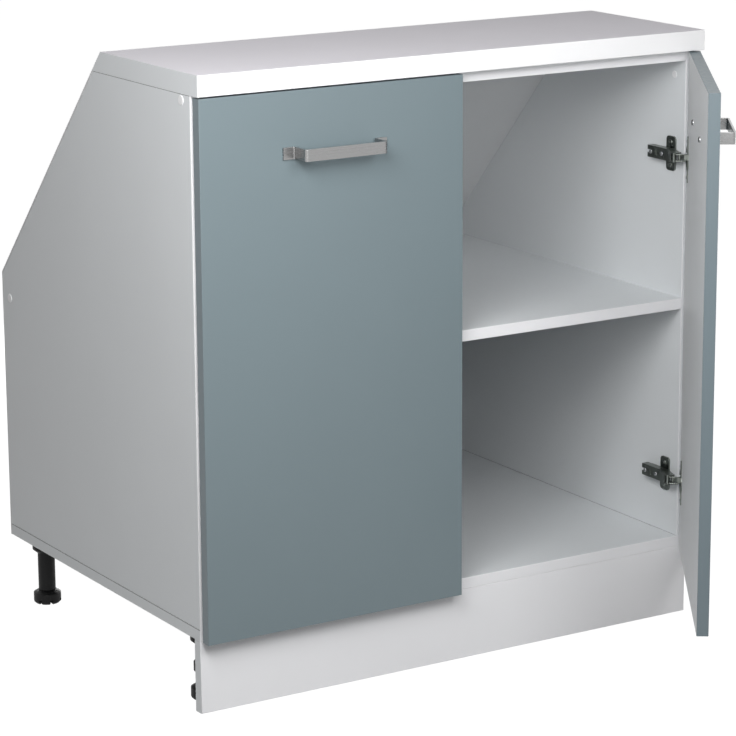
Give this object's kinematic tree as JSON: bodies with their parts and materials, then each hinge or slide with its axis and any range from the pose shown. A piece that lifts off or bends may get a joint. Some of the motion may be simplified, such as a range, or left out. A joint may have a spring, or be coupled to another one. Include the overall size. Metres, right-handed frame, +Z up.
{
  "type": "sloped ceiling kitchen base cabinet",
  "caption": "Kitchen base unit with a sloped rear top corner, hinged doors on concealed four-bar hinges, a shelf, a short worktop, a plinth and levelling legs.",
  "frame": {"origin": "underside of the plinth board on the floor, middle of the width and of the board's thickness", "axes": "+Z up, +X to the right seen from the front, +Y to the rear; the doors face -Y"},
  "size_m": [0.8024, 0.9208, 0.85],
  "materials": {
    "white_board": "satin white melamine",
    "worktop_laminate": "pale grey laminate",
    "white_hardboard": "white lacquered",
    "grey_door": "satin blue-grey foil",
    "brushed_nickel": "brushed",
    "dark_nickel": "dark nickel plated",
    "zinc_steel": "zinc plated",
    "black_plastic": "moulded matt",
    "white_plastic": "moulded satin",
    "beech": "bare beech"
  },
  "bodies": {
    "carcass": {"left_side_panel": "white_board", "right_side_panel": "white_board", "bottom_panel": "white_board", "shelf": "white_board", "front_rail": "white_board", "plinth_board": "white_board", "worktop": "worktop_laminate", "lower_back_panel": "white_hardboard", "sloped_back_panel": "white_hardboard", "plinth_clips": "black_plastic", "plinth_clip_screws": "zinc_steel", "carcass_screws": "zinc_steel", "screw_caps": "white_plastic", "inner_hole_caps": "white_plastic", "dowels": "beech", "worktop_screws": "zinc_steel", "back_panel_nails": "zinc_steel", "arm_pins": "dark_nickel", "hinge_plate_screws": "zinc_steel", "hinge_adjusting_screws": "zinc_steel", "left_upper_hinge_plate": "dark_nickel", "left_upper_hinge_arm": "dark_nickel", "left_lower_hinge_plate": "dark_nickel", "left_lower_hinge_arm": "dark_nickel", "right_upper_hinge_plate": "dark_nickel", "right_upper_hinge_arm": "dark_nickel", "right_lower_hinge_plate": "dark_nickel", "right_lower_hinge_arm": "dark_nickel", "front_left_leg": "black_plastic", "front_right_leg": "black_plastic", "rear_left_leg": "black_plastic", "rear_right_leg": "black_plastic"},
    "left_outer_links": {"left_upper_outer_link": "dark_nickel", "left_lower_outer_link": "dark_nickel"},
    "left_inner_links": {"left_upper_inner_link": "dark_nickel", "left_lower_inner_link": "dark_nickel"},
    "left_door": {"left_door_panel": "grey_door", "left_handle": "brushed_nickel", "left_handle_screws": "zinc_steel", "left_upper_hinge_cup": "dark_nickel", "left_lower_hinge_cup": "dark_nickel", "left_cup_screws": "zinc_steel", "left_cup_pins": "dark_nickel"},
    "right_outer_links": {"right_upper_outer_link": "dark_nickel", "right_lower_outer_link": "dark_nickel"},
    "right_inner_links": {"right_upper_inner_link": "dark_nickel", "right_lower_inner_link": "dark_nickel"},
    "right_door": {"right_door_panel": "grey_door", "right_handle": "brushed_nickel", "right_handle_screws": "zinc_steel", "right_upper_hinge_cup": "dark_nickel", "right_lower_hinge_cup": "dark_nickel", "right_cup_screws": "zinc_steel", "right_cup_pins": "dark_nickel"},
    "front_left_foot": {"front_left_foot": "black_plastic"},
    "front_right_foot": {"front_right_foot": "black_plastic"},
    "rear_left_foot": {"rear_left_foot": "black_plastic"},
    "rear_right_foot": {"rear_right_foot": "black_plastic"}
  },
  "joints": [
    {"name": "left_outer_link_turn", "type": "hinge", "parent": "carcass", "child": "left_outer_links", "pos_m": [-0.3719, -0.013, 0.438], "axis": [0, 0, -1], "range_deg": [-15.19, 0]},
    {"name": "left_door_opening", "type": "hinge", "parent": "left_outer_links", "child": "left_door", "pos_m": [-0.3902, -0.0215, 0.438], "axis": [0, 0, -1], "range_deg": [0, 107.14]},
    {"name": "left_inner_link_turn", "type": "hinge", "parent": "carcass", "child": "left_inner_links", "pos_m": [-0.3634, -0.01143, 0.438], "axis": [0, 0, -1], "range_deg": [-25.17, 0]},
    {"name": "right_outer_link_turn", "type": "hinge", "parent": "carcass", "child": "right_outer_links", "pos_m": [0.3719, -0.013, 0.438], "axis": [0, 0, 1], "range_deg": [-6.03, 9.22]},
    {"name": "right_door_opening", "type": "hinge", "parent": "right_outer_links", "child": "right_door", "pos_m": [0.38861, -0.02431, 0.438], "axis": [0, 0, 1], "range_deg": [-64.87, 42.27]},
    {"name": "right_inner_link_turn", "type": "hinge", "parent": "carcass", "child": "right_inner_links", "pos_m": [0.3634, -0.01143, 0.438], "axis": [0, 0, 1], "range_deg": [-9.96, 15.26]},
    {"name": "front_left_foot_levelling", "type": "slide", "parent": "carcass", "child": "front_left_foot", "axis": [0, 0, -1], "range_m": [0, 0.02]},
    {"name": "front_right_foot_levelling", "type": "slide", "parent": "carcass", "child": "front_right_foot", "axis": [0, 0, -1], "range_m": [0, 0.02]},
    {"name": "rear_left_foot_levelling", "type": "slide", "parent": "carcass", "child": "rear_left_foot", "axis": [0, 0, -1], "range_m": [0, 0.02]},
    {"name": "rear_right_foot_levelling", "type": "slide", "parent": "carcass", "child": "rear_right_foot", "axis": [0, 0, -1], "range_m": [0, 0.02]}
  ],
  "couplings": [
    {"joint": "left_outer_link_turn", "follows": "left_door_opening", "ratio": -0.14134},
    {"joint": "left_inner_link_turn", "follows": "left_door_opening", "ratio": -0.23442},
    {"joint": "right_outer_link_turn", "follows": "right_door_opening", "ratio": -0.14134},
    {"joint": "right_inner_link_turn", "follows": "right_door_opening", "ratio": -0.23442}
  ]
}
